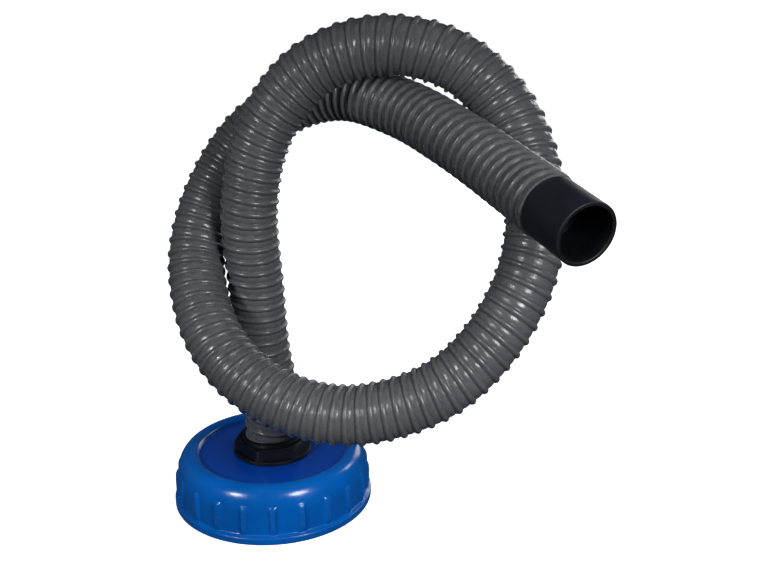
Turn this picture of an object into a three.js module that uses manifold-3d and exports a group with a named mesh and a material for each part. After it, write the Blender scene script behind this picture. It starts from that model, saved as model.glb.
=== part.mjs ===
// Waste-water hose kit: a 96 mm screw cap for a tank neck, a hose tail clamped through the
// cap by a lock nut, 0.92 m of ribbed hose, and a push-in end cuff.
// Millimetres, +Z up. The origin is the centre of the cap's bottom rim.
import * as THREE from 'three';
import { mergeVertices } from 'three/addons/utils/BufferGeometryUtils.js';
import Module from 'manifold-3d';

const wasm = await Module();
wasm.setup();

// ---- driving dimensions ----
const GAP = 0.3; // clearance kept between neighbouring pieces

const CAP_RADIUS = 55; // bottom flange of the cap
const CAP_TOP = 29.6; // crown of the rounded shoulder
const CAP_FLOOR = 27; // recessed disc inside the crown
const CAP_CEILING = 24; // underside of the disc
const SKIRT_RADIUS = 52.7;
const SKIRT_BORE = 49.2; // inner wall, behind the thread
const SHOULDER_Z = 17; // where the skirt turns into the shoulder
const CROWN_RADIUS = 45;
const RECESS_RADIUS = 40.6;
const HOLE_RADIUS = 17; // hole for the hose tail's shank
const FLANGE_HEIGHT = 3.2;
const GRIP_RIBS = 22;
const RIB_RADIUS = 1.6;
const RIB_TOP = 18.5;
const RIB_PHASE = 0.85; // where the first rib stands, in rib spacings round from +X
const RIB_SINK = 0.1; // how far a rib's middle lies inside the skirt
const RIB_FACETS = 8;
const EDGE_BREAK = 0.5; // small chamfer on moulded edges
const THREAD_PITCH = 6;
const THREAD_TURNS = 2;
const THREAD_CREST = 47.7; // inner radius of the thread's ridge
const THREAD_ROOT = 50; // buried in the skirt
const THREAD_ROOT_WIDTH = 3;
const THREAD_CREST_WIDTH = 1.2;
const THREAD_START = 3;
const THREAD_STEPS = 30; // per turn

const GASKET_INNER = 40;
const GASKET_OUTER = 48.8;
const GASKET_THICKNESS = 2.5;

const SEAL_THICKNESS = 2;
const TAIL_FLANGE_RADIUS = 22.4;
const TAIL_FLANGE_THICKNESS = 4;
const SHANK_RADIUS = 16.6;
const SHANK_TOP = 36.7;
const TAIL_BORE = 9.5;
const SPIGOT_CORE = 11.4;
const BARB_RADIUS = 12;
const BARB_CREST = 0.25; // up each barb, as a share of its step
const BARB_FOOT = 0.9;
const SPIGOT_TOP = 63;
const TAIL_BARBS = 4;
const SPIGOT_LEAD = 2; // plain length before the first barb and after the last

const NUT_FLATS = 37;
const NUT_FLANGE_RADIUS = 21.5;
const NUT_FLANGE_THICKNESS = 2;
const NUT_HEIGHT = 8.4;
const NUT_TURN = 14; // degrees, how far a corner lies round from +X
const NUT_CHAMFER = 1.6;

const HOSE_RADIUS = 14.75; // over the ribs
const HOSE_WALL = 1.75;
const HOSE_SIDES = 12;
const HOSE_STEPS = 64;

const CUFF_RADIUS = 14;
const CUFF_LENGTH = 26; // from the hose's end to the mouth
const CUFF_BORE = 12;
const CUFF_SPIGOT = 22; // how far it goes into the hose
const CUFF_SPIGOT_BORE = 9.8;
const CUFF_BARBS = 3;
const CUFF_FUNNEL = 4; // length of the cone from the cuff's bore to the spigot's

const ROUND = 36; // facets round a small turned piece
const CAP_FACETS = 3 * GRIP_RIBS;

// The hose's route, from the hose tail to the end cuff.
const HOSE_ROUTE = [
  [0, 0, 37], [0, 0, 66], [-3, -1, 85.5], [-5, -4.5, 124.5], [-6, -9.5, 169], [3.5, -9.5, 207],
  [26, -9.5, 235], [59, -13.5, 247], [94.5, -19, 240.5], [120, -26, 218], [132, -40, 185],
  [130, -53.5, 151.5], [115, -63.5, 120], [89, -70, 94.5], [51, -69.5, 80.5], [19.5, -62, 81.5],
  [-8.5, -48, 93], [-26.5, -29.5, 111], [-35.5, -4.5, 139], [-30, 11.5, 167], [-10, 23.5, 199],
  [15.5, 24, 216], [41, 14.5, 222.5], [71, -8, 216.5], [98, -42, 204.5], [118.5, -74.5, 193],
  [129.5, -98.5, 187],
].map((point) => new THREE.Vector3(...point));

// ---- helpers ----
const degrees = THREE.MathUtils.degToRad;

/** A closed three.js geometry as a manifold-3d solid. */
function solid(geometry) {
  const bare = geometry.clone();
  bare.deleteAttribute('normal');
  bare.deleteAttribute('uv');
  const merged = mergeVertices(bare, 1e-4);
  return new wasm.Manifold(new wasm.Mesh({
    numProp: 3,
    vertProperties: new Float32Array(merged.attributes.position.array),
    triVerts: new Uint32Array(merged.index.array),
  }));
}

/** A manifold-3d solid back as a three.js geometry. */
function geometryOf(manifold) {
  const mesh = manifold.getMesh();
  const geometry = new THREE.BufferGeometry();
  geometry.setAttribute('position', new THREE.BufferAttribute(mesh.vertProperties, 3));
  geometry.setIndex(new THREE.BufferAttribute(mesh.triVerts, 1));
  geometry.computeVertexNormals();
  return geometry;
}

/** A profile of [radius, z] pairs turned about Z. It runs anticlockwise and closes itself. */
function turned(profile, facets = ROUND) {
  const loop = [...profile, profile[0]].map(([r, z]) => new THREE.Vector2(r, z));
  const geometry = new THREE.LatheGeometry(loop, facets);
  geometry.rotateX(Math.PI / 2);
  return geometry;
}

/** Points on a quarter ellipse about (r, z), between two angles in degrees. */
function ellipseArc(r, z, halfWidth, halfHeight, from, to, count) {
  return Array.from({ length: count + 1 }, (_, i) => {
    const angle = degrees(from + ((to - from) * i) / count);
    return [r + halfWidth * Math.cos(angle), z + halfHeight * Math.sin(angle)];
  });
}

/** Saw-tooth barbs up a spigot, as the outer side of a profile. */
function barbs(from, to, count) {
  const step = (to - from) / count;
  return Array.from({ length: count }, (_, i) => {
    const z = from + i * step;
    return [
      [SPIGOT_CORE, z],
      [BARB_RADIUS, z + BARB_CREST * step],
      [SPIGOT_CORE, z + BARB_FOOT * step],
    ];
  }).flat();
}

function mesh(name, geometry, color, roughness) {
  const material = new THREE.MeshStandardMaterial({ color, roughness, metalness: 0 });
  const piece = new THREE.Mesh(geometry, material);
  piece.name = name;
  return piece;
}

// ---- screw cap ----
function capBody() {
  const shoulder = ellipseArc(
    CROWN_RADIUS, SHOULDER_Z, SKIRT_RADIUS - CROWN_RADIUS, CAP_TOP - SHOULDER_Z, 0, 90, 7,
  );
  const innerRound = ellipseArc(
    CROWN_RADIUS, CAP_FLOOR, CROWN_RADIUS - RECESS_RADIUS, CAP_TOP - CAP_FLOOR, 115, 180, 3,
  );
  return turned([
    [HOLE_RADIUS, CAP_CEILING],
    [SKIRT_BORE, CAP_CEILING],
    [SKIRT_BORE, 2 * EDGE_BREAK],
    [SKIRT_BORE + 2 * EDGE_BREAK, 0],
    [CAP_RADIUS - EDGE_BREAK, 0],
    [CAP_RADIUS, EDGE_BREAK],
    [CAP_RADIUS, FLANGE_HEIGHT],
    [CAP_RADIUS - EDGE_BREAK, FLANGE_HEIGHT + 2 * EDGE_BREAK],
    [SKIRT_RADIUS, FLANGE_HEIGHT + 4 * EDGE_BREAK],
    ...shoulder,
    ...innerRound,
    [HOLE_RADIUS, CAP_FLOOR],
  ], CAP_FACETS);
}

/** One grip rib: a half-sunk upright bar with a domed top. */
function gripRib(index) {
  const foot = FLANGE_HEIGHT;
  const dome = ellipseArc(0, RIB_TOP - RIB_RADIUS, RIB_RADIUS, RIB_RADIUS, 0, 90, 2);
  const profile = [[0, foot], [RIB_RADIUS, foot], ...dome.slice(0, -1), [0, RIB_TOP]];
  const rib = turned(profile, RIB_FACETS);
  rib.translate(SKIRT_RADIUS - RIB_SINK, 0, 0);
  rib.rotateZ(((index + RIB_PHASE) / GRIP_RIBS) * 2 * Math.PI);
  return rib;
}

/** The ridge of the cap's inner thread, swept as a closed helical bar. */
function threadRidge() {
  const steps = THREAD_TURNS * THREAD_STEPS;
  const foot = THREAD_ROOT_WIDTH / 2;
  const tip = THREAD_CREST_WIDTH / 2;
  const section = [
    [THREAD_ROOT, -foot],
    [THREAD_ROOT, foot],
    [THREAD_CREST, tip],
    [THREAD_CREST, -tip],
  ];
  const positions = [];
  for (let i = 0; i <= steps; i += 1) {
    const angle = (i / THREAD_STEPS) * 2 * Math.PI;
    const rise = THREAD_START + (i / THREAD_STEPS) * THREAD_PITCH;
    section.forEach(([r, z]) => positions.push(r * Math.cos(angle), r * Math.sin(angle), rise + z));
  }
  const triangles = [0, 1, 2, 0, 2, 3];
  for (let i = 0; i < steps; i += 1) {
    for (let j = 0; j < 4; j += 1) {
      const a = 4 * i + j;
      const b = 4 * i + ((j + 1) % 4);
      triangles.push(a, a + 4, b, b, a + 4, b + 4);
    }
  }
  const last = 4 * steps;
  triangles.push(last, last + 2, last + 1, last, last + 3, last + 2);
  const geometry = new THREE.BufferGeometry();
  geometry.setAttribute('position', new THREE.Float32BufferAttribute(positions, 3));
  geometry.setIndex(triangles);
  return geometry;
}

function screwCap() {
  let body = solid(capBody()).add(solid(threadRidge()));
  for (let i = 0; i < GRIP_RIBS; i += 1) {
    body = body.add(solid(gripRib(i)));
  }
  return mesh('screw_cap', geometryOf(body), 0x0a5aa8, 0.3);
}

/** A flat ring between two radii, its top at z. */
function flatRing(inner, outer, top, thickness) {
  const bottom = top - thickness;
  return turned([[inner, bottom], [outer, bottom], [outer, top], [inner, top]]);
}

function capGasket() {
  const ring = flatRing(GASKET_INNER, GASKET_OUTER, CAP_CEILING - GAP, GASKET_THICKNESS);
  return mesh('cap_gasket', ring, 0x17181a, 0.85);
}

// ---- hose tail, its seal and its nut ----
const SEAL_TOP = CAP_CEILING - GAP;
const FLANGE_TOP = SEAL_TOP - SEAL_THICKNESS - GAP;
const FLANGE_BOTTOM = FLANGE_TOP - TAIL_FLANGE_THICKNESS;

function tailSeal() {
  const ring = flatRing(SHANK_RADIUS + GAP, TAIL_FLANGE_RADIUS, SEAL_TOP, SEAL_THICKNESS);
  return mesh('tail_seal', ring, 0x17181a, 0.85);
}

function hoseTail() {
  return turned([
    [TAIL_BORE, FLANGE_BOTTOM],
    [TAIL_FLANGE_RADIUS, FLANGE_BOTTOM],
    [TAIL_FLANGE_RADIUS, FLANGE_TOP],
    [SHANK_RADIUS, FLANGE_TOP],
    [SHANK_RADIUS, SHANK_TOP - EDGE_BREAK],
    [SHANK_RADIUS - EDGE_BREAK, SHANK_TOP],
    [SPIGOT_CORE, SHANK_TOP],
    ...barbs(SHANK_TOP + SPIGOT_LEAD, SPIGOT_TOP - SPIGOT_LEAD, TAIL_BARBS),
    [SPIGOT_CORE - EDGE_BREAK, SPIGOT_TOP],
    [TAIL_BORE, SPIGOT_TOP],
  ]);
}

function lockNut() {
  const corner = NUT_FLATS / 2 / Math.cos(Math.PI / 6);
  const foot = NUT_FLANGE_THICKNESS / 2; // the hexagon starts inside the flange
  const hexagon = new THREE.CylinderGeometry(corner, corner, NUT_HEIGHT - foot, 6);
  hexagon.rotateX(Math.PI / 2);
  hexagon.rotateZ(Math.PI / 6 + degrees(NUT_TURN));
  hexagon.translate(0, 0, (NUT_HEIGHT + foot) / 2);
  const blank = turned([
    [0, 0],
    [corner + 1, 0],
    [corner + 1, NUT_HEIGHT - NUT_CHAMFER],
    [NUT_FLATS / 2, NUT_HEIGHT],
    [0, NUT_HEIGHT],
  ]);
  const flange = turned([
    [0, 0],
    [NUT_FLANGE_RADIUS, 0],
    [NUT_FLANGE_RADIUS, NUT_FLANGE_THICKNESS - EDGE_BREAK],
    [NUT_FLANGE_RADIUS - 2 * EDGE_BREAK, NUT_FLANGE_THICKNESS],
    [0, NUT_FLANGE_THICKNESS],
  ]);
  const hole = new THREE.CylinderGeometry(SHANK_RADIUS + GAP, SHANK_RADIUS + GAP, 3 * NUT_HEIGHT, ROUND);
  hole.rotateX(Math.PI / 2);
  const nut = solid(hexagon).intersect(solid(blank)).add(solid(flange)).subtract(solid(hole));
  const piece = mesh('lock_nut', geometryOf(nut), 0x101114, 0.5);
  piece.position.z = CAP_FLOOR + GAP;
  return piece;
}

// ---- hose ----
function regularPolygon(Kind, radius, sides) {
  const corners = Array.from({ length: sides }, (_, i) => {
    const angle = (i / sides) * 2 * Math.PI;
    return new THREE.Vector2(radius * Math.cos(angle), radius * Math.sin(angle));
  });
  return new Kind(corners);
}

function hose() {
  const cornerWall = HOSE_WALL / Math.cos(Math.PI / HOSE_SIDES);
  const section = regularPolygon(THREE.Shape, HOSE_RADIUS, HOSE_SIDES);
  section.holes.push(regularPolygon(THREE.Path, HOSE_RADIUS - cornerWall, HOSE_SIDES));
  return new THREE.ExtrudeGeometry(section, {
    steps: HOSE_STEPS,
    bevelEnabled: false,
    extrudePath: new THREE.CatmullRomCurve3(HOSE_ROUTE, false, 'centripetal'),
  });
}

// ---- end cuff, made along its own +Z from the hose's end ----
function cuffProfile() {
  return [
    [CUFF_SPIGOT_BORE, -CUFF_SPIGOT],
    [SPIGOT_CORE - EDGE_BREAK, -CUFF_SPIGOT],
    ...barbs(SPIGOT_LEAD - CUFF_SPIGOT, -SPIGOT_LEAD, CUFF_BARBS),
    [SPIGOT_CORE, GAP],
    [CUFF_RADIUS, GAP],
    [CUFF_RADIUS, CUFF_LENGTH - EDGE_BREAK],
    [CUFF_RADIUS - EDGE_BREAK, CUFF_LENGTH],
    [CUFF_BORE + EDGE_BREAK, CUFF_LENGTH],
    [CUFF_BORE, CUFF_LENGTH - EDGE_BREAK],
    [CUFF_BORE, CUFF_FUNNEL],
    [CUFF_SPIGOT_BORE, 0],
  ];
}

function endCuff() {
  const piece = mesh('end_cuff', turned(cuffProfile()), 0x0b0b0d, 0.55);
  const [before, end] = HOSE_ROUTE.slice(-2);
  const outward = end.clone().sub(before).normalize();
  piece.quaternion.setFromUnitVectors(new THREE.Vector3(0, 0, 1), outward);
  piece.position.copy(end);
  return piece;
}

const kit = new THREE.Group();
kit.add(
  screwCap(),
  capGasket(),
  tailSeal(),
  mesh('hose_tail', hoseTail(), 0x101114, 0.45),
  lockNut(),
  mesh('hose', hose(), 0x5f6266, 0.3),
  endCuff(),
);

export default kit;
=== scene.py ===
"""A waste-water hose kit: a blue screw cap, a ribbed grey hose and a black end cuff.

Metres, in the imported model's frame: +Z up, the origin under the middle of the cap's rim.
The pieces' own sizes are in millimetres, named at the top of each section, as a drawing has them.
"""
import math

import bpy
import numpy as np
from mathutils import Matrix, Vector


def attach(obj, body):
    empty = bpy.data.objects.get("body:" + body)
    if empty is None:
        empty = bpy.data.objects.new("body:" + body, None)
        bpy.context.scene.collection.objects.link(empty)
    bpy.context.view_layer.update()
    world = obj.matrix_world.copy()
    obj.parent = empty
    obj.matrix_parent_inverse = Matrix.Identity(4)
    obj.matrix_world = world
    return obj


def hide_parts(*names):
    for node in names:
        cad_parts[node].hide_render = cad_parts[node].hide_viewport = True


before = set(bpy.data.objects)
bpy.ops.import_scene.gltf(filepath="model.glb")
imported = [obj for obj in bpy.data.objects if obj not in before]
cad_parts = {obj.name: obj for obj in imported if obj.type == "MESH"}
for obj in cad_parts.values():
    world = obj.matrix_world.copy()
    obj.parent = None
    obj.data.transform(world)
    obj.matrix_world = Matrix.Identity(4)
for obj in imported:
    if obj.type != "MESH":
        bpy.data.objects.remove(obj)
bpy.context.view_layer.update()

MM = 0.001
TURN = 2 * math.pi


# ---- camera ----
CAMERA_PLACE = (0.0593, -0.4710, 0.2699)
CAMERA_DOWN = 17.25  # degrees below level
CAMERA_LENS = 44.23
CAMERA_SENSOR = 36
CAMERA_NEAREST = 0.01


def add_camera():
    data = bpy.data.cameras.new("camera")
    data.lens = CAMERA_LENS
    data.sensor_width = CAMERA_SENSOR
    data.clip_start = CAMERA_NEAREST
    camera = bpy.data.objects.new("camera", data)
    camera.location = CAMERA_PLACE
    camera.rotation_euler = (math.radians(90 - CAMERA_DOWN), 0, 0)
    bpy.context.scene.collection.objects.link(camera)
    bpy.context.scene.camera = camera


# ---- mesh helpers ----
STRAIGHT = 88  # degrees; half the angle at a corner that is too flat to round
FILLET_STEPS = 5
CRISP = 35  # degrees between two faces that makes the edge between them crisp


def smooth_step(low, high, x):
    """0 at low and 1 at high, with an ease at both ends. low may be the greater of the two."""
    t = np.clip((x - low) / (high - low), 0, 1)
    return t * t * (3 - 2 * t)


def link_mesh(name, points, faces, marks, crisp=CRISP):
    """A mesh object with smooth shading, crisp where faces meet at more than that angle."""
    mesh = bpy.data.meshes.new(name)
    mesh.from_pydata(points.tolist(), [], faces.tolist())
    for mark, values in marks.items():
        kind, key = ("FLOAT_VECTOR", "vector") if values.ndim == 2 else ("FLOAT", "value")
        attribute = mesh.attributes.new(mark, kind, "POINT")
        attribute.data.foreach_set(key, values.astype(np.float32).ravel())
    mesh.validate()
    mesh.shade_smooth()
    mesh.set_sharp_from_angle(angle=math.radians(crisp))
    piece = bpy.data.objects.new(name, mesh)
    bpy.context.scene.collection.objects.link(piece)
    return piece


def ring_skin(name, grid, crisp=CRISP, **marks):
    """A closed skin over a grid of points whose rows and columns both close on themselves.

    marks are per-point numbers or vectors in the grid's order, for the materials.
    """
    rows, columns = grid.shape[:2]
    index = np.arange(rows * columns).reshape(rows, columns)
    below = np.roll(index, -1, axis=0)
    faces = np.stack(
        [index, np.roll(index, -1, axis=1), np.roll(below, -1, axis=1), below], axis=-1
    ).reshape(-1, 4)
    points = grid.reshape(-1, 3)
    corner = points[faces]
    normal = np.cross(corner[:, 2] - corner[:, 0], corner[:, 3] - corner[:, 1])
    if (normal * corner.mean(axis=1)).sum() < 0:
        faces = faces[:, ::-1]
    flat = {k: v.reshape(-1, 3) if v.ndim == 3 else v.reshape(-1) for k, v in marks.items()}
    return link_mesh(name, points, faces, flat, crisp)


def rounded(corners, longest=2.0):
    """A closed (r, z) outline from corners of (r, z, fillet), with straight stretches divided."""
    outline = []
    count = len(corners)
    for i, (r, z, fillet) in enumerate(corners):
        here = np.array([r, z], float)
        before = np.array(corners[i - 1][:2], float) - here
        after = np.array(corners[(i + 1) % count][:2], float) - here
        before /= np.linalg.norm(before)
        after /= np.linalg.norm(after)
        half = math.acos(np.clip(before @ after, -1, 1)) / 2
        if fillet == 0 or half > math.radians(STRAIGHT):
            outline.append(here)
            continue
        start = here + before * fillet / math.tan(half)
        end = here + after * fillet / math.tan(half)
        centre = here + (before + after) / np.linalg.norm(before + after) * fillet / math.sin(half)
        for w in np.linspace(0, 1, FILLET_STEPS + 1):
            spoke = (start - centre) * (1 - w) + (end - centre) * w
            outline.append(centre + spoke / np.linalg.norm(spoke) * fillet)
    divided = []
    for i, point in enumerate(outline):
        follower = outline[(i + 1) % len(outline)]
        pieces = max(1, math.ceil(np.linalg.norm(follower - point) / longest))
        divided += [point + (follower - point) * k / pieces for k in range(pieces)]
    return np.array(divided)


def ellipse_arc(r, z, half_width, half_height, start, end, steps):
    """Points on an ellipse about (r, z) between two angles in degrees, as unrounded corners."""
    angles = np.radians(np.linspace(start, end, steps + 1))
    return [(r + half_width * math.cos(a), z + half_height * math.sin(a), 0) for a in angles]


def around(columns):
    """That many even angles round from +X."""
    return np.arange(columns) * TURN / columns


def turned_grid(name, radius, height, angles, crisp=CRISP, **marks):
    """A skin turned about Z, from millimetre grids with a row per outline point."""
    grid = np.stack([radius * np.cos(angles), radius * np.sin(angles), height], axis=-1) * MM
    marks.setdefault("wear", np.zeros(radius.shape))
    return ring_skin(name, grid, crisp, local=grid, **marks)


def turned(name, outline, columns=144, **marks):
    """An (r, z) outline turned about Z. marks hold a number for each of its points."""
    def wide(values):
        return np.repeat(values[:, None], columns, axis=1)

    return turned_grid(
        name, wide(outline[:, 0]), wide(outline[:, 1]), around(columns),
        **{mark: wide(values) for mark, values in marks.items()},
    )


# ---- materials ----
# Base colours, in linear light.
HOSE_DARK = (0.065, 0.068, 0.077)
HOSE_LIGHT = (0.095, 0.098, 0.108)
CAP_BLUE = (0.0, 0.108, 0.46)
# Painted shade: the cap's blue darkened for its recess.
RECESS_SHADE_BLUE = (0.0, 0.052, 0.38)
FITTING_BLACK = (0.0025, 0.0035, 0.008)
CUFF_BLACK = (0.0062, 0.0085, 0.013)
# Painted shade: near black for the inside of the cuff.
CUFF_INSIDE_SHADE = (0.0012, 0.0014, 0.003)
RUBBER_DARK = (0.010, 0.010, 0.011)
RUBBER_LIGHT = (0.024, 0.024, 0.025)


class Recipe:
    """A small helper that adds nodes to one material and joins them."""

    def __init__(self, name):
        self.material = bpy.data.materials.new(name)
        self.material.use_nodes = True
        self.tree = self.material.node_tree
        self.shader = self.tree.nodes["Principled BSDF"]

    def node(self, kind, settings=None, **inputs):
        node = self.tree.nodes.new(kind)
        for key, value in (settings or {}).items():
            setattr(node, key, value)
        for key, value in inputs.items():
            self.feed(node.inputs[key.replace("_", " ")], value)
        return node

    def feed(self, socket, value):
        if isinstance(value, bpy.types.NodeSocket):
            self.tree.links.new(value, socket)
        else:
            socket.default_value = value

    def mark(self, name, output="Fac"):
        """A number, or a vector, that the mesh carries at each point."""
        node = self.node("ShaderNodeAttribute", {"attribute_name": name})
        return node.outputs[output]

    def noise(self, scale, detail=4.0, roughness=0.55, stretch=(1, 1, 1)):
        """Noise fixed to the piece. scale counts its blotches per metre."""
        place = self.node("ShaderNodeMapping", Vector=self.mark("local", "Vector"), Scale=stretch)
        node = self.node(
            "ShaderNodeTexNoise", Scale=scale, Detail=detail, Roughness=roughness,
            Vector=place.outputs["Vector"],
        )
        return node.outputs["Fac"]

    def remap(self, value, from_low, from_high, to_low=0.0, to_high=1.0):
        node = self.node("ShaderNodeMapRange", {"interpolation_type": "SMOOTHSTEP"})
        for key, number in enumerate((value, from_low, from_high, to_low, to_high)):
            self.feed(node.inputs[key], number)
        return node.outputs[0]

    def math(self, operation, a, b):
        node = self.node("ShaderNodeMath", {"operation": operation})
        self.feed(node.inputs[0], a)
        self.feed(node.inputs[1], b)
        return node.outputs[0]

    def times(self, a, b):
        return self.math("MULTIPLY", a, b)

    def mix(self, share, a, b):
        node = self.node("ShaderNodeMix", {"data_type": "RGBA"})
        self.feed(node.inputs["Factor"], share)
        self.feed(node.inputs[6], a if isinstance(a, bpy.types.NodeSocket) else (*a, 1))
        self.feed(node.inputs[7], b if isinstance(b, bpy.types.NodeSocket) else (*b, 1))
        return node.outputs[2]

    def bump(self, height, distance, strength, under=None):
        """A bumped normal; distance is its depth in metres, under is a normal it lies over."""
        node = self.node("ShaderNodeBump", Height=height, Distance=distance, Strength=strength)
        if under is not None:
            self.feed(node.inputs["Normal"], under)
        return node.outputs["Normal"]

    def finish(self, colour, roughness, normal, specular):
        self.feed(self.shader.inputs["Base Color"], colour)
        self.feed(self.shader.inputs["Roughness"], roughness)
        self.feed(self.shader.inputs["Normal"], normal)
        self.shader.inputs["Specular IOR Level"].default_value = specular
        return self.material


def shade(colour, factor):
    return tuple(c * factor for c in colour)


def moulded(name, colour, roughness, grain, worn, specular, shade_tint=None):
    """Moulded plastic: slow colour drift, flow marks in the gloss, fine grain and pale scuffs.

    grain is the depth of its fine grain in metres, and worn is how strongly scuffs show. The last
    argument is the colour of painted shade where the mesh is marked as lying in shade.
    """
    r = Recipe(name)
    drift = r.remap(r.noise(38.0, detail=3.0), 0.3, 0.7)
    base = r.mix(drift, shade(colour, 0.88), shade(colour, 1.1))
    # Painted shade: a darker colour where the mesh is marked as lying in shade.
    if shade_tint:
        base = r.mix(r.mark("sunk"), base, shade_tint)

    scratch = r.remap(r.noise(420.0, detail=6.0, roughness=0.7, stretch=(1, 1, 0.12)), 0.66, 0.74)
    handled = r.remap(r.noise(90.0, detail=5.0, roughness=0.7), 0.42, 0.62)
    broken = r.remap(r.noise(650.0, detail=5.0), 0.42, 0.62)
    scuff = r.times(r.times(scratch, handled), worn)
    edge = r.times(r.times(r.mark("wear"), broken), worn)
    rubbed = r.math("MAXIMUM", scuff, edge)
    pale = tuple(0.6 * c + 0.14 for c in colour)
    tint = r.mix(rubbed, base, pale)

    flow = r.noise(140.0, detail=5.0, roughness=0.6)
    gloss = r.remap(flow, 0.25, 0.75, roughness * 0.85, roughness * 1.2)
    gloss = r.math("ADD", gloss, r.times(rubbed, 0.25))
    ripple = r.bump(r.noise(110.0, detail=2.0), 0.00012, 0.5)
    normal = r.bump(r.noise(2600.0, detail=3.0), grain, 0.6, under=ripple)
    return r.finish(tint, gloss, normal, specular)


def hose_vinyl(name):
    """Extruded vinyl over a spiral: semi-gloss, with painted shade and some dust in the creases
    beside each rib.
    """
    r = Recipe(name)
    drift = r.remap(r.noise(30.0), 0.3, 0.7)
    mottle = r.remap(r.noise(900.0, detail=5.0, roughness=0.65), 0.3, 0.75)
    base = r.mix(drift, HOSE_DARK, HOSE_LIGHT)
    base = r.mix(mottle, base, shade(HOSE_LIGHT, 0.95))

    # Painted shade with some dust: the creases beside each rib are darkened, in patches.
    crease = r.mark("crease")
    crease_shade_and_dust = r.times(crease, r.remap(r.noise(160.0, detail=3.0), 0.2, 0.6, 0.6, 1.0))
    tint = r.mix(r.times(crease_shade_and_dust, 0.4), base, shade(HOSE_DARK, 0.25))
    handled = r.remap(r.noise(240.0, detail=6.0, roughness=0.7), 0.5, 0.7)
    rubbed = r.times(r.mark("wear"), handled)
    tint = r.mix(r.times(rubbed, 0.35), tint, shade(HOSE_LIGHT, 1.6))

    gloss = r.remap(r.noise(210.0, detail=5.0, roughness=0.6), 0.25, 0.75, 0.21, 0.32)
    gloss = r.math("ADD", gloss, r.times(crease, 0.3))
    wrinkle = r.noise(330.0, detail=3.0, roughness=0.5, stretch=(1, 1, 0.6))
    normal = r.bump(r.noise(1900.0, detail=3.0), 0.00004, 0.5, under=r.bump(wrinkle, 0.00035, 0.55))
    return r.finish(tint, gloss, normal, specular=0.42)


def rubber(name):
    """Matt black rubber with a faint grey bloom."""
    r = Recipe(name)
    bloom = r.remap(r.noise(120.0, detail=5.0, roughness=0.6), 0.35, 0.7)
    tint = r.mix(bloom, RUBBER_DARK, RUBBER_LIGHT)
    gloss = r.remap(r.noise(500.0), 0.3, 0.7, 0.6, 0.8)
    normal = r.bump(r.noise(3200.0, detail=3.0), 0.00005, 0.7)
    return r.finish(tint, gloss, normal, specular=0.4)


# ---- hose ----
HOSE_ROUTE = [
    (0, 0, 37), (0, 0, 66), (-3, -1, 85.5), (-5, -4.5, 124.5), (-6, -9.5, 169),
    (3.5, -9.5, 207), (26, -9.5, 235), (59, -13.5, 247), (94.5, -19, 240.5),
    (120, -26, 218), (132, -40, 185), (130, -53.5, 151.5), (115, -63.5, 120),
    (89, -70, 94.5), (51, -69.5, 80.5), (19.5, -62, 81.5), (-8.5, -48, 93),
    (-26.5, -29.5, 111), (-35.5, -4.5, 139), (-30, 11.5, 167), (-10, 23.5, 199),
    (15.5, 24, 216), (41, 14.5, 222.5), (71, -8, 216.5), (98, -42, 204.5),
    (118.5, -74.5, 193), (129.5, -98.5, 187),
]
ROUTE_STEPS = 60  # points on the curve between two of the route's
HOSE_OUTER = 14.85  # over the ribs
HOSE_BORE = 12.5
WEB_EDGE = 13.45  # skin between the ribs, where it meets them
WEB_CROWN = 13.85
RIB_HALF_WIDTH = 1.45
RIB_FOOT = 0.5  # how far the skin drapes out from the rib
RIB_ROUND = 0.6  # share of a rib's height that is its round bead; the rest is its foot
# Width of the painted shade in the crease beside each rib.
CREASE_WIDTH = 0.35
CREST_SHARE = 0.85  # share of the bead's height from which a rib is worn
RING_SPACING = 0.46
HOSE_SIDES = 46
BORE_RINGS = 120
HOSE_CRISP = 50
RIB_HAND = -1  # a left-handed spiral
# The spiral's pitch, closer where the hose is pushed together: (distance along, pitch).
RIB_PITCH = [
    (0, 6.8), (70, 6.8), (110, 6.4), (150, 5.8), (190, 5.85), (230, 6.4), (270, 7.0),
    (330, 7.3), (390, 7.0), (450, 6.5), (490, 5.95), (550, 5.95), (600, 6.6), (630, 6.8),
    (670, 6.4), (730, 6.3), (770, 5.4), (810, 5.4), (850, 5.75), (925, 5.8),
]


def route_line(route):
    """Closely spaced points on the route's centripetal Catmull-Rom curve, in millimetres."""
    p = np.array(route, float)
    p = np.vstack([2 * p[0] - p[1], p, 2 * p[-1] - p[-2]])
    w = np.linspace(0, 1, ROUTE_STEPS, endpoint=False)[:, None]
    line = []
    for a, b, c, d in zip(p[:-3], p[1:-2], p[2:-1], p[3:]):
        ab, bc, cd = (math.sqrt(np.linalg.norm(e)) for e in (b - a, c - b, d - c))
        leave = ((b - a) / ab - (c - a) / (ab + bc) + (c - b) / bc) * bc
        arrive = ((c - b) / bc - (d - b) / (bc + cd) + (d - c) / cd) * bc
        square = -3 * b + 3 * c - 2 * leave - arrive
        cube = 2 * b - 2 * c + leave + arrive
        line.append(b + leave * w + square * w**2 + cube * w**3)
    line.append(p[-2:-1])
    return np.vstack(line)


def evenly(line, spacing):
    """The line's points at an even spacing, and each one's distance along it."""
    along = np.concatenate([[0], np.cumsum(np.linalg.norm(np.diff(line, axis=0), axis=1))])
    count = round(along[-1] / spacing) + 1
    marks = np.linspace(0, along[-1], count)
    return np.stack([np.interp(marks, along, line[:, k]) for k in range(3)], axis=1), marks


def carried_frames(line):
    """Two directions across the line at each point, carried along it without twist."""
    ahead = np.gradient(line, axis=0)
    ahead /= np.linalg.norm(ahead, axis=1)[:, None]
    side = np.zeros_like(line)
    current = np.array([1.0, 0.0, 0.0])
    for i, direction in enumerate(ahead):
        current = current - (current @ direction) * direction
        current /= np.linalg.norm(current)
        side[i] = current
    return side, np.cross(ahead, side)


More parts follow.
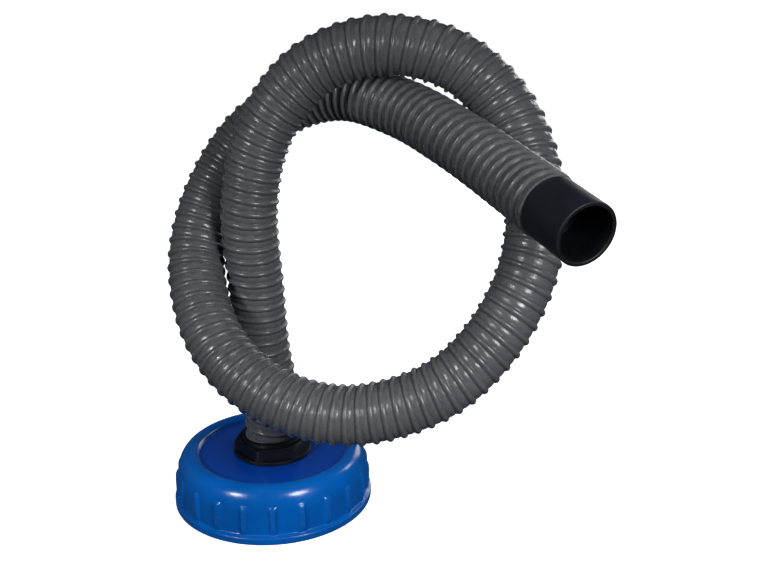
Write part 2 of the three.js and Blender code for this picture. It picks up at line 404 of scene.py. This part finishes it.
def ribbed_surface(along, angles):
    """The outer radius at each ring and angle, how creased it is there, for painted shade, and how
    worn.
    """
    stations, pitches = zip(*RIB_PITCH)
    pitch = np.interp(along, stations, pitches)
    turns = np.concatenate([[0], np.cumsum(np.diff(along) / pitch[1:])])
    pitch = pitch[:, None]
    phase = turns[:, None] - RIB_HAND * angles / TURN
    away = np.abs((phase % 1) - 0.5) * pitch  # from the nearest rib's middle, along the hose

    half_web = pitch / 2 - RIB_HALF_WIDTH
    across = np.clip((pitch / 2 - away) / half_web, 0, 1)
    web = WEB_EDGE + (WEB_CROWN - WEB_EDGE) * (1 - across**2)
    bead = np.sqrt(np.clip(1 - (away / RIB_HALF_WIDTH) ** 2, 0, 1))
    foot = np.clip(1 - (away / (RIB_HALF_WIDTH + RIB_FOOT)) ** 2, 0, 1) ** 1.5
    rib = WEB_EDGE + (HOSE_OUTER - WEB_EDGE) * (RIB_ROUND * bead + (1 - RIB_ROUND) * foot)
    # Painted shade: how strongly the crease beside each rib is darkened.
    crease = np.exp(-(((away - RIB_HALF_WIDTH) / CREASE_WIDTH) ** 2))
    return np.maximum(rib, web), crease, smooth_step(CREST_SHARE, 1.0, bead)


def make_hose(line, along):
    """The hose's tube, ribbed outside and plain inside, along an even line."""
    side, other = carried_frames(line)
    angles = around(HOSE_SIDES)

    def tube(rows, radii):
        spokes = np.cos(angles)[:, None] * side[rows][:, None] + (
            np.sin(angles)[:, None] * other[rows][:, None]
        )
        grid = line[rows][:, None] + radii[..., None] * spokes
        distance = np.repeat(along[rows][:, None], HOSE_SIDES, axis=1)
        local = np.stack([radii * np.cos(angles), radii * np.sin(angles), distance], axis=-1)
        return grid * MM, local * MM

    radius, crease, crest = ribbed_surface(along, angles)
    outside = np.arange(len(line))
    inside = np.unique(np.linspace(0, len(line) - 1, BORE_RINGS).astype(int))[::-1]
    plain = np.zeros((len(inside), HOSE_SIDES))
    outer, outer_local = tube(outside, radius)
    inner, inner_local = tube(inside, plain + HOSE_BORE)
    hose = ring_skin(
        "hose_ribbed", np.vstack([outer, inner]), HOSE_CRISP,
        local=np.vstack([outer_local, inner_local]),
        crease=np.vstack([crease, plain]), wear=np.vstack([crest, plain]),
    )
    hose.data.materials.append(hose_vinyl("hose vinyl"))
    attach(hose, "hose_line")
    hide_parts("hose")
    return hose


# ---- barbed spigots, on the tail and on the cuff ----
SPIGOT_CORE = 11.4
BARB_RADIUS = 12
BARB_CREST = 0.25  # up each barb, as a share of its step
BARB_FOOT = 0.9
BARB_FILLET = 0.1
SPIGOT_LEAD = 2  # plain length before the first barb and after the last
JOINT_GAP = 0.3  # clearance kept between neighbouring pieces


def barbs(start, end, count):
    """Saw-tooth barbs up a spigot, as corners of an outline."""
    step = (end - start) / count
    corners = []
    for i in range(count):
        z = start + i * step
        corners += [
            (SPIGOT_CORE, z, BARB_FILLET),
            (BARB_RADIUS, z + BARB_CREST * step, BARB_FILLET),
            (SPIGOT_CORE, z + BARB_FOOT * step, BARB_FILLET),
        ]
    return corners


# ---- end cuff ----
CUFF_RADIUS = 14
CUFF_LENGTH = 26
CUFF_BORE = 12
CUFF_SPIGOT = 22
CUFF_SPIGOT_BORE = 9.8
CUFF_SPIGOT_TIP = 10.6
CUFF_BARBS = 3
CUFF_FUNNEL = 4  # length of the cone from the cuff's bore to the spigot's
CUFF_MOUTH = 0.8  # length of its worn edge
CUFF_MOUTH_WEAR = 0.3
CUFF_COLUMNS = 120


def make_cuff():
    """The cuff, made upright and then laid along the hose's last stretch."""
    outline = rounded([
        (CUFF_SPIGOT_BORE, -CUFF_SPIGOT, 0.3),
        (CUFF_SPIGOT_TIP, -CUFF_SPIGOT, 0.3),
        *barbs(SPIGOT_LEAD - CUFF_SPIGOT, -SPIGOT_LEAD, CUFF_BARBS),
        (SPIGOT_CORE, JOINT_GAP, 0),
        (CUFF_RADIUS, JOINT_GAP, 0.4),
        (CUFF_RADIUS, CUFF_LENGTH, 0.45),
        (CUFF_BORE, CUFF_LENGTH, 0.6),
        (CUFF_BORE, CUFF_FUNNEL, 0.8),
        (CUFF_SPIGOT_BORE, 0, 0.8),
    ])
    r, z = outline.T
    mouth = smooth_step(CUFF_LENGTH - CUFF_MOUTH, CUFF_LENGTH, z) * CUFF_MOUTH_WEAR
    # Painted shade inside the cuff and across most of its mouth's end face.
    sunk = smooth_step(CUFF_RADIUS - 0.1, CUFF_RADIUS - 0.5, r)
    cuff = turned("cuff_end", outline, CUFF_COLUMNS, wear=mouth, sunk=sunk)
    before, end = (Vector(p) * MM for p in HOSE_ROUTE[-2:])
    spin = Vector((0, 0, 1)).rotation_difference(end - before).to_matrix().to_4x4()
    spin.translation = end
    cuff.data.transform(spin)
    cuff.data.materials.append(moulded(
        "cuff plastic", CUFF_BLACK, roughness=0.5, grain=0.00005, worn=0.05, specular=0.3,
        shade_tint=CUFF_INSIDE_SHADE,
    ))
    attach(cuff, "cuff")
    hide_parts("end_cuff")
    return cuff


# ---- screw cap ----
CAP_RADIUS = 55
CAP_TOP = 29.6
CAP_FLOOR = 27
CAP_CEILING = 24
SKIRT_RADIUS = 52.7
SKIRT_BORE = 49.2
SHOULDER_Z = 17
CROWN_RADIUS = 45
RECESS_RADIUS = 40.6
HOLE_RADIUS = 17
FLANGE_TOP = 3.7
FLANGE_RISE = 1.1  # how much higher the flange's sloped top is at the skirt
CAP_CRISP = 40

GRIP_RIBS = 22
GRIP_PHASE = 0.85  # where the first rib stands, in rib spacings round from +X
GRIP_HALF_WIDTH = 2.5
GRIP_TOP = 0.4  # share of the half width where its flank reaches full height
GRIP_HEIGHT = 1.45
GRIP_MIDDLE_Z = 12.4
GRIP_REACH = 8.2  # from the middle of a rib to its ends, up and down
# The mesh's columns at each rib, in degrees from its middle, closest on its flanks.
GRIP_COLUMNS = [
    -8, -5.8, -4, -2.9, -2.5, -2.1, -1.7, -1.2, -0.6, 0, 0.6, 1.2, 1.7, 2.1, 2.5, 2.9, 4, 5.8,
]

THREAD_PITCH = 6
THREAD_TURNS = 2
THREAD_DEPTH = 1.5
THREAD_START = 3
THREAD_FOOT = 1.5  # half widths of the thread's ridge
THREAD_CREST = 0.6
THREAD_FADE = 0.06  # turns over which it rises from the wall at each end


def cap_outline():
    shoulder = ellipse_arc(
        CROWN_RADIUS, SHOULDER_Z, SKIRT_RADIUS - CROWN_RADIUS, CAP_TOP - SHOULDER_Z, 0, 90, 22,
    )
    inner_round = ellipse_arc(
        CROWN_RADIUS, CAP_FLOOR, CROWN_RADIUS - RECESS_RADIUS, CAP_TOP - CAP_FLOOR, 98, 172, 10,
    )
    return rounded([
        (HOLE_RADIUS, CAP_CEILING, 0.3),
        (SKIRT_BORE, CAP_CEILING, 1.0),
        (SKIRT_BORE, 0, 0.9),
        (CAP_RADIUS, 0, 0.5),
        (CAP_RADIUS, FLANGE_TOP, 0.8),
        (SKIRT_RADIUS, FLANGE_TOP + FLANGE_RISE, 0.8),
        *shoulder,
        *inner_round,
        (RECESS_RADIUS, CAP_FLOOR, 0.3),
        (HOLE_RADIUS, CAP_FLOOR, 0.35),
    ], longest=0.75)


def grip_bulge(r, z, across):
    """How far the grip ribs stand out of the skirt, across degrees from each rib's middle."""
    arc = np.abs(np.radians(across) * SKIRT_RADIUS) / GRIP_HALF_WIDTH
    bar = smooth_step(1, GRIP_TOP, arc)
    reach = np.clip(1 - np.abs((z - GRIP_MIDDLE_Z) / GRIP_REACH) ** 3, 0, 1)
    outside = r > SKIRT_BORE + 0.6
    return np.where(outside, GRIP_HEIGHT * bar * np.sqrt(reach), 0)


def neck_thread(r, z, angles):
    """How far the thread for the tank's neck stands in from the skirt's bore."""
    ridge = np.zeros(np.broadcast_shapes(z.shape, angles.shape))
    for turn in range(THREAD_TURNS + 1):
        progress = angles % TURN / TURN + turn
        middle = THREAD_START + progress * THREAD_PITCH
        slope = smooth_step(THREAD_FOOT, THREAD_CREST, np.abs(z - middle))
        start = smooth_step(0, THREAD_FADE, progress)
        end = smooth_step(THREAD_TURNS, THREAD_TURNS - THREAD_FADE, progress)
        ridge = np.maximum(ridge, slope * start * end)
    on_bore = np.abs(r - SKIRT_BORE) < 0.01
    return np.where(on_bore, THREAD_DEPTH * ridge, 0)


def make_cap():
    outline = cap_outline()
    sector = 360 / GRIP_RIBS
    degrees = [(i + GRIP_PHASE) * sector + step for i in range(GRIP_RIBS) for step in GRIP_COLUMNS]
    angles = np.radians(degrees)[None, :]
    across = np.tile(GRIP_COLUMNS, GRIP_RIBS)[None, :]
    r, z = outline[:, :1], outline[:, 1:]

    grip = grip_bulge(r, z, across)
    radius = r + grip - neck_thread(r, z, angles)
    rim = smooth_step(CAP_RADIUS - 0.5, CAP_RADIUS, r)
    rim = rim * smooth_step(FLANGE_TOP - 1.5, FLANGE_TOP - 0.3, z)
    # Painted shade over the recess floor and its wall.
    sunk = smooth_step(RECESS_RADIUS + 1.0, RECESS_RADIUS - 0.6, r) * (z > CAP_CEILING + 1)
    cap = turned_grid(
        "cap_screw", radius, np.broadcast_to(z, radius.shape), angles, CAP_CRISP,
        wear=np.maximum(smooth_step(0.75, 1.0, grip / GRIP_HEIGHT), rim),
        sunk=np.broadcast_to(sunk, radius.shape),
    )
    cap.data.materials.append(moulded(
        "cap plastic", CAP_BLUE, roughness=0.2, grain=0.00002, worn=0.07, specular=0.5,
        shade_tint=RECESS_SHADE_BLUE,
    ))
    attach(cap, "cap")
    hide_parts("screw_cap")


# ---- rubber rings ----
GASKET_INNER = 40
GASKET_OUTER = 48.8
GASKET_BOTTOM = 21.2
SEAL_INNER = 16.9
RING_FILLET = 0.3


def ring(name, node, body, inner, outer, bottom, top):
    """A flat rubber ring with soft edges, in place of a CAD ring."""
    corners = [(inner, bottom), (outer, bottom), (outer, top), (inner, top)]
    piece = turned(name, rounded([(*corner, RING_FILLET) for corner in corners]))
    piece.data.materials.append(rubber(name + " rubber"))
    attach(piece, body)
    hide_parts(node)


# ---- hose tail ----
TAIL_BORE = 9.5
TAIL_FLANGE_RADIUS = 22.4
TAIL_FLANGE_BOTTOM = 17.4
TAIL_FLANGE_TOP = 21.4
TAIL_BARBS = 4
TAIL_TIP = 10.4
TAIL_COLUMNS = 120
SHANK_RADIUS = 16.6
SHANK_TOP = 36.7
SPIGOT_TOP = 63
PIPE_PITCH = 2.309
PIPE_DEPTH = 0.9


def fitting_plastic(name):
    return moulded(name, FITTING_BLACK, roughness=0.48, grain=0.00003, worn=0.12, specular=0.3)


def make_tail():
    """The tail: a flange under the cap, a threaded shank through it and a barbed spigot."""
    outline = rounded([
        (TAIL_BORE, TAIL_FLANGE_BOTTOM, 0.6),
        (TAIL_FLANGE_RADIUS, TAIL_FLANGE_BOTTOM, 0.7),
        (TAIL_FLANGE_RADIUS, TAIL_FLANGE_TOP, 0.4),
        (SHANK_RADIUS, TAIL_FLANGE_TOP, 0.3),
        (SHANK_RADIUS, SHANK_TOP, 0.4),
        (SPIGOT_CORE, SHANK_TOP, 0.3),
        *barbs(SHANK_TOP + SPIGOT_LEAD, SPIGOT_TOP - SPIGOT_LEAD, TAIL_BARBS),
        (TAIL_TIP, SPIGOT_TOP, 0.2),
        (TAIL_BORE, SPIGOT_TOP, 0.2),
    ], longest=0.4)
    angles = around(TAIL_COLUMNS)
    r, z = outline[:, :1], outline[:, 1:]
    on_shank = np.abs(r - SHANK_RADIUS) < 0.01
    begun = smooth_step(TAIL_FLANGE_TOP + 0.8, TAIL_FLANGE_TOP + 1.8, z)
    tooth = np.abs(((z / PIPE_PITCH - angles / TURN) % 1) * 2 - 1)
    radius = r - PIPE_DEPTH * on_shank * begun * smooth_step(0.15, 0.85, tooth)
    tail = turned_grid("tail_fitting", radius, np.broadcast_to(z, radius.shape), angles)
    tail.data.materials.append(fitting_plastic("tail plastic"))
    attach(tail, "hose_line")
    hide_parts("hose_tail")


# ---- lock nut ----
NUT_FLATS = 37
NUT_CORNERS = NUT_FLATS / math.cos(math.pi / 6)
NUT_FLANGE_RADIUS = 21.5
NUT_FLANGE_TOP = 2
NUT_SHELF_RADIUS = 20.4  # how far in the flange's top face is drawn, under the hexagon
NUT_BLANK_RADIUS = 22.4  # the nut's body before its flats are cut
NUT_HEIGHT = 8.4
NUT_BORE = 16.9
NUT_TURN = 14  # degrees, how far a corner lies round from +X
NUT_CHAMFER = 1.6
NUT_CRISP = 28
# The mesh's columns at each corner, in degrees from it.
NUT_COLUMNS = [-30, -20, -12, -7, -4, -2.4, -1.4, -0.7, 0, 0.7, 1.4, 2.4, 4, 7, 12, 20]


def make_nut():
    """The hex nut: its round blank cut back to six flats, with a turned cone over its corners."""
    outline = rounded([
        (NUT_BORE, 0, 0.3),
        (NUT_FLANGE_RADIUS, 0, 0.25),
        (NUT_FLANGE_RADIUS, NUT_FLANGE_TOP, 0.5),
        (NUT_SHELF_RADIUS, NUT_FLANGE_TOP, 0),
        (NUT_BLANK_RADIUS, NUT_FLANGE_TOP, 0),
        (NUT_BLANK_RADIUS, NUT_HEIGHT, 0),
        (NUT_BORE, NUT_HEIGHT, 0.5),
    ], longest=0.6)
    degrees = np.concatenate([60 * k + np.array(NUT_COLUMNS) for k in range(6)])
    from_flat = np.radians((degrees % 60) - 30)
    flat, corner = NUT_FLATS / 2, NUT_CORNERS / 2
    hexagon = np.minimum(flat / np.cos(from_flat), corner - 0.25)
    r, z = outline[:, :1], outline[:, 1:]
    cone = flat + 0.1 + (NUT_HEIGHT - z) / NUT_CHAMFER * (corner - flat)
    side = np.minimum(hexagon, cone)
    on_hexagon = (z > NUT_FLANGE_TOP - 0.01) & (r > NUT_BORE + 1)
    radius = np.where(on_hexagon, np.minimum(r, side), r)
    edges = np.where(on_hexagon, smooth_step(corner - 1.2, corner - 0.3, radius), 0)
    height = np.broadcast_to(z + CAP_FLOOR + JOINT_GAP, radius.shape)
    angles = np.radians(degrees + NUT_TURN)
    nut = turned_grid("nut_lock", radius, height, angles, NUT_CRISP, wear=edges)
    nut.data.materials.append(fitting_plastic("nut plastic"))
    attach(nut, "nut")
    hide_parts("lock_nut")


# ---- studio, in metres ----
STUDIO_MIDDLE = Vector((0.045, -0.03, 0.13))
LOW_AIM = Vector((0.045, -0.05, 0.085))  # the beams from the front are strongest low down
BACKDROP_RADIUS = 6.0
BACKDROP_SIDES = 48
BACKDROP_DROP = 0.0002  # the floor lies just under the cap's rim
AMBIENT = (0.030, 0.038, 0.046)


def softbox(
    name, azimuth, elevation, size, power, distance=1.1, aim=STUDIO_MIDDLE, spread=180, shiny=True,
):
    """Azimuth 0 is in front of it, along -Y, and turns to +X.

    spread is the full angle of its beam in degrees.
    """
    data = bpy.data.lights.new(name, "AREA")
    data.shape = "SQUARE"
    data.size = size
    data.energy = power
    data.spread = math.radians(spread)
    a, e = math.radians(azimuth), math.radians(elevation)
    towards = Vector((math.sin(a) * math.cos(e), -math.cos(a) * math.cos(e), math.sin(e)))
    lamp = bpy.data.objects.new(name, data)
    lamp.location = aim + towards * distance
    lamp.rotation_euler = towards.to_track_quat("Z", "Y").to_euler()
    lamp.visible_glossy = shiny
    bpy.context.scene.collection.objects.link(lamp)


def add_backdrop():
    """A pale floor that runs up into a pale dome."""
    climb = np.radians(np.linspace(0, 90, 23))
    radius = np.concatenate([[0.0005, 0.5, 2.0], BACKDROP_RADIUS * np.cos(climb) + 0.001])
    height = np.concatenate([[0, 0, 0], BACKDROP_RADIUS * np.sin(climb)]) - BACKDROP_DROP
    angles = around(BACKDROP_SIDES)
    points = np.stack([
        radius[:, None] * np.cos(angles), radius[:, None] * np.sin(angles),
        np.repeat(height[:, None], BACKDROP_SIDES, axis=1),
    ], axis=-1)
    index = np.arange(points.size // 3).reshape(points.shape[:2])
    beside = np.roll(index, -1, axis=1)
    faces = np.stack([index[:-1], index[1:], beside[1:], beside[:-1]], axis=-1).reshape(-1, 4)
    backdrop = link_mesh("backdrop", points.reshape(-1, 3), faces, {})
    paper = bpy.data.materials.new("backdrop paper")
    paper.use_nodes = True
    shader = paper.node_tree.nodes["Principled BSDF"]
    shader.inputs["Base Color"].default_value = (0.8, 0.8, 0.8, 1)
    shader.inputs["Roughness"].default_value = 0.9
    shader.inputs["Specular IOR Level"].default_value = 0.1
    shader.inputs["Emission Color"].default_value = (1, 1, 1, 1)
    shader.inputs["Emission Strength"].default_value = 1.0
    backdrop.data.materials.append(paper)
    backdrop.visible_diffuse = False
    backdrop.visible_glossy = False
    backdrop.visible_shadow = False


def add_studio():
    softbox("lamp left", -43, 25, size=0.18, power=0.23, aim=LOW_AIM, spread=33.4)
    softbox(
        "lamp right", 34.5, 26, size=0.13, power=0.46, distance=0.452, aim=LOW_AIM, spread=95,
    )
    softbox("lamp rim", 124, 26, size=0.25, power=1.3)
    softbox("lamp top", 20, 80, size=0.8, power=0.8)
    softbox("lamp back", 150, 10, size=0.4, power=1.6)
    softbox("fill back", 185, 8, size=0.6, power=2.6, shiny=False)
    softbox("fill left", 250, 8, size=0.6, power=1.6, shiny=False)
    world = bpy.data.worlds.new("studio")
    world.use_nodes = True
    background = world.node_tree.nodes["Background"]
    background.inputs["Color"].default_value = (*AMBIENT, 1)
    background.inputs["Strength"].default_value = 1.0
    bpy.context.scene.world = world
    bpy.context.scene.view_settings.view_transform = "Standard"
    add_backdrop()


add_camera()
hose_line, hose_along = evenly(route_line(HOSE_ROUTE), RING_SPACING)
hose = make_hose(hose_line, hose_along)
cuff = make_cuff()
make_cap()
under_cap = CAP_CEILING - JOINT_GAP
ring("gasket_cap", "cap_gasket", "cap", GASKET_INNER, GASKET_OUTER, GASKET_BOTTOM, under_cap)
ring(
    "seal_tail", "tail_seal", "hose_line", SEAL_INNER, TAIL_FLANGE_RADIUS,
    TAIL_FLANGE_TOP + JOINT_GAP, under_cap,
)
make_tail()
make_nut()
add_studio()
